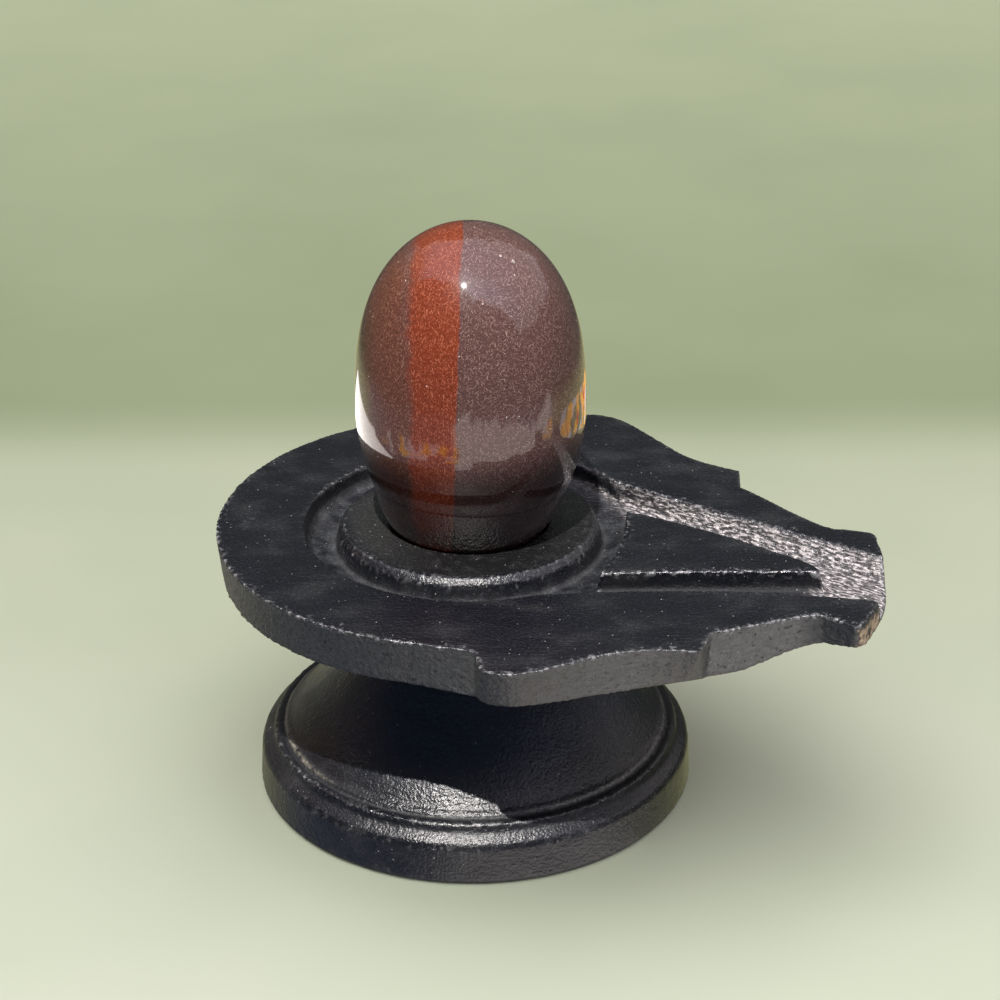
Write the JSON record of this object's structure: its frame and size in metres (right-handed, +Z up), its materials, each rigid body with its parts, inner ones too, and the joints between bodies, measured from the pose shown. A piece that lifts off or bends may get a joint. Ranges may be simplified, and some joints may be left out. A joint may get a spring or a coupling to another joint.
{
  "type": "shiva lingam stone on yoni base",
  "caption": "Polished egg-shaped lingam stone standing in a round black stone yoni base with a ring groove, a stepped spout and a moulded foot.",
  "frame": {"origin": "centre of the round foot's underside, on the surface it stands on", "axes": "+Z up along the foot's and the stone's axis, +X along the spout towards its mouth, +Y to the side away from the viewer"},
  "size_m": [0.1369, 0.1143, 0.1206],
  "materials": {
    "lingam_stone": "mirror-polished brown-mauve stone with fine pale grain and one brick-red band",
    "black_stone": "hand-carved blue-black stone, satin on the faces, rasped in the channel, worn bright along the edges"
  },
  "bodies": {
    "root": {"lingam_stone": "lingam_stone", "yoni_base": "black_stone"}
  },
  "joints": []
}
